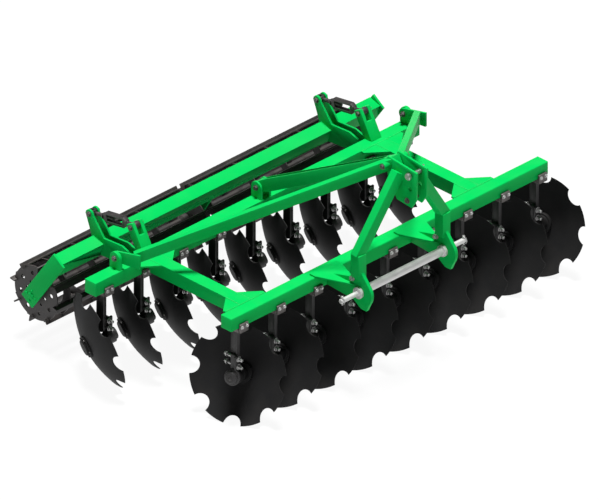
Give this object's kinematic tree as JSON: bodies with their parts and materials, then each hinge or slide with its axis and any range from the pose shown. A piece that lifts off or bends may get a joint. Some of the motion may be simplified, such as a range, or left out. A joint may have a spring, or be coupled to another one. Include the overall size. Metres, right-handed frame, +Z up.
{
  "type": "mounted disc harrow",
  "caption": "Mounted compact disc harrow with staggered rows of notched discs on separate stands, a box frame, a three-point hitch tower and a rear cage roller.",
  "frame": {"origin": "middle of the bounding box at ground level, where the lowest points of the discs stand", "axes": "+X forward to the tractor, +Y to the machine's left, +Z up"},
  "size_m": [1.91, 2.758, 1.3267],
  "materials": {
    "green_paint": "gloss enamel",
    "disc_black": "satin black",
    "cast_black": "painted black casting",
    "dark_steel": "dark oiled steel",
    "bright_steel": "bright zinc plate",
    "roller_grey": "worn dark paint"
  },
  "bodies": {
    "frame": {"front_beam": "green_paint", "rear_beam": "green_paint", "side_member_left": "green_paint", "side_member_right": "green_paint", "hitch_plate_left": "green_paint", "hitch_plate_right": "green_paint", "lower_link_bar": "bright_steel", "mast_left": "green_paint", "mast_right": "green_paint", "top_link_pin": "bright_steel", "center_brace": "green_paint", "stay_left": "green_paint", "stay_right": "green_paint", "roller_bracket_left": "green_paint", "roller_bracket_right": "green_paint", "front_stand_1": "cast_black", "front_stand_2": "cast_black", "front_stand_3": "cast_black", "front_stand_4": "cast_black", "front_stand_5": "cast_black", "front_stand_6": "cast_black", "front_stand_7": "cast_black", "front_stand_8": "cast_black", "front_stand_9": "cast_black", "rear_stand_1": "cast_black", "rear_stand_2": "cast_black", "rear_stand_3": "cast_black", "rear_stand_4": "cast_black", "rear_stand_5": "cast_black", "rear_stand_6": "cast_black", "rear_stand_7": "cast_black", "rear_stand_8": "cast_black", "rear_stand_9": "cast_black"},
    "roller_frame": {"roller_frame": "green_paint", "roller_arm_left": "green_paint", "roller_arm_right": "green_paint"},
    "front_disc_1": {"front_disc_1": "disc_black"},
    "front_disc_2": {"front_disc_2": "disc_black"},
    "front_disc_3": {"front_disc_3": "disc_black"},
    "front_disc_4": {"front_disc_4": "disc_black"},
    "front_disc_5": {"front_disc_5": "disc_black"},
    "front_disc_6": {"front_disc_6": "disc_black"},
    "front_disc_7": {"front_disc_7": "disc_black"},
    "front_disc_8": {"front_disc_8": "disc_black"},
    "front_disc_9": {"front_disc_9": "disc_black"},
    "rear_disc_1": {"rear_disc_1": "disc_black"},
    "rear_disc_2": {"rear_disc_2": "disc_black"},
    "rear_disc_3": {"rear_disc_3": "disc_black"},
    "rear_disc_4": {"rear_disc_4": "disc_black"},
    "rear_disc_5": {"rear_disc_5": "disc_black"},
    "rear_disc_6": {"rear_disc_6": "disc_black"},
    "rear_disc_7": {"rear_disc_7": "disc_black"},
    "rear_disc_8": {"rear_disc_8": "disc_black"},
    "rear_disc_9": {"rear_disc_9": "disc_black"},
    "roller_drum_left": {"roller_drum_left": "roller_grey"},
    "roller_drum_right": {"roller_drum_right": "roller_grey"},
    "turnbuckle_left": {"turnbuckle_left": "dark_steel"},
    "turnbuckle_screw_left": {"turnbuckle_screw_left": "dark_steel"},
    "turnbuckle_right": {"turnbuckle_right": "dark_steel"},
    "turnbuckle_screw_right": {"turnbuckle_screw_right": "dark_steel"}
  },
  "joints": [
    {"name": "roller_tilt", "type": "hinge", "parent": "frame", "child": "roller_frame", "pos_m": [-0.342, -0.0488, 0.58266], "axis": [0, 1, 0], "range_deg": [-8, 5]},
    {"name": "front_disc_1_spin", "type": "hinge", "parent": "frame", "child": "front_disc_1", "pos_m": [0.511, -0.9888, 0.26416], "axis": [0.3436, -0.8951, 0.284], "continuous": true},
    {"name": "front_disc_2_spin", "type": "hinge", "parent": "frame", "child": "front_disc_2", "pos_m": [0.511, -0.7088, 0.26416], "axis": [0.3436, -0.8951, 0.284], "continuous": true},
    {"name": "front_disc_3_spin", "type": "hinge", "parent": "frame", "child": "front_disc_3", "pos_m": [0.511, -0.4288, 0.26416], "axis": [0.3436, -0.8951, 0.284], "continuous": true},
    {"name": "front_disc_4_spin", "type": "hinge", "parent": "frame", "child": "front_disc_4", "pos_m": [0.511, -0.1488, 0.26416], "axis": [0.3436, -0.8951, 0.284], "continuous": true},
    {"name": "front_disc_5_spin", "type": "hinge", "parent": "frame", "child": "front_disc_5", "pos_m": [0.511, 0.1312, 0.26416], "axis": [0.3436, -0.8951, 0.284], "continuous": true},
    {"name": "front_disc_6_spin", "type": "hinge", "parent": "frame", "child": "front_disc_6", "pos_m": [0.511, 0.4112, 0.26416], "axis": [0.3436, -0.8951, 0.284], "continuous": true},
    {"name": "front_disc_7_spin", "type": "hinge", "parent": "frame", "child": "front_disc_7", "pos_m": [0.511, 0.6912, 0.26416], "axis": [0.3436, -0.8951, 0.284], "continuous": true},
    {"name": "front_disc_8_spin", "type": "hinge", "parent": "frame", "child": "front_disc_8", "pos_m": [0.511, 0.9712, 0.26416], "axis": [0.3436, -0.8951, 0.284], "continuous": true},
    {"name": "front_disc_9_spin", "type": "hinge", "parent": "frame", "child": "front_disc_9", "pos_m": [0.511, 1.2512, 0.26416], "axis": [0.3436, -0.8951, 0.284], "continuous": true},
    {"name": "rear_disc_1_spin", "type": "hinge", "parent": "frame", "child": "rear_disc_1", "pos_m": [-0.264, -1.2512, 0.26416], "axis": [0.3436, 0.8951, 0.284], "continuous": true},
    {"name": "rear_disc_2_spin", "type": "hinge", "parent": "frame", "child": "rear_disc_2", "pos_m": [-0.264, -0.9712, 0.26416], "axis": [0.3436, 0.8951, 0.284], "continuous": true},
    {"name": "rear_disc_3_spin", "type": "hinge", "parent": "frame", "child": "rear_disc_3", "pos_m": [-0.264, -0.6912, 0.26416], "axis": [0.3436, 0.8951, 0.284], "continuous": true},
    {"name": "rear_disc_4_spin", "type": "hinge", "parent": "frame", "child": "rear_disc_4", "pos_m": [-0.264, -0.4112, 0.26416], "axis": [0.3436, 0.8951, 0.284], "continuous": true},
    {"name": "rear_disc_5_spin", "type": "hinge", "parent": "frame", "child": "rear_disc_5", "pos_m": [-0.264, -0.1312, 0.26416], "axis": [0.3436, 0.8951, 0.284], "continuous": true},
    {"name": "rear_disc_6_spin", "type": "hinge", "parent": "frame", "child": "rear_disc_6", "pos_m": [-0.264, 0.1488, 0.26416], "axis": [0.3436, 0.8951, 0.284], "continuous": true},
    {"name": "rear_disc_7_spin", "type": "hinge", "parent": "frame", "child": "rear_disc_7", "pos_m": [-0.264, 0.4288, 0.26416], "axis": [0.3436, 0.8951, 0.284], "continuous": true},
    {"name": "rear_disc_8_spin", "type": "hinge", "parent": "frame", "child": "rear_disc_8", "pos_m": [-0.264, 0.7088, 0.26416], "axis": [0.3436, 0.8951, 0.284], "continuous": true},
    {"name": "rear_disc_9_spin", "type": "hinge", "parent": "frame", "child": "rear_disc_9", "pos_m": [-0.264, 0.9888, 0.26416], "axis": [0.3436, 0.8951, 0.284], "continuous": true},
    {"name": "roller_spin_left", "type": "hinge", "parent": "roller_frame", "child": "roller_drum_left", "pos_m": [-0.777, 0.5512, 0.32766], "axis": [0, 1, 0], "continuous": true},
    {"name": "roller_spin_right", "type": "hinge", "parent": "roller_frame", "child": "roller_drum_right", "pos_m": [-0.777, -0.6488, 0.32766], "axis": [0, 1, 0], "continuous": true},
    {"name": "turnbuckle_tilt_left", "type": "hinge", "parent": "frame", "child": "turnbuckle_left", "pos_m": [-0.342, 0.8042, 0.79266], "axis": [0, 1, 0], "range_deg": [-7.5, 5]},
    {"name": "turnbuckle_screw_slide_left", "type": "slide", "parent": "turnbuckle_left", "child": "turnbuckle_screw_left", "axis": [-0.988, 0, -0.1544], "range_m": [-0.019, 0.03]},
    {"name": "turnbuckle_tilt_right", "type": "hinge", "parent": "frame", "child": "turnbuckle_right", "pos_m": [-0.342, -0.9018, 0.79266], "axis": [0, 1, 0], "range_deg": [-7.5, 5]},
    {"name": "turnbuckle_screw_slide_right", "type": "slide", "parent": "turnbuckle_right", "child": "turnbuckle_screw_right", "axis": [-0.988, 0, -0.1544], "range_m": [-0.019, 0.03]}
  ],
  "couplings": [
    {"joint": "turnbuckle_tilt_left", "follows": "roller_tilt", "ratio": 0.89},
    {"joint": "turnbuckle_screw_slide_left", "follows": "roller_tilt", "m_per_rad": -0.2085},
    {"joint": "turnbuckle_tilt_right", "follows": "roller_tilt", "ratio": 0.89},
    {"joint": "turnbuckle_screw_slide_right", "follows": "roller_tilt", "m_per_rad": -0.2085}
  ]
}
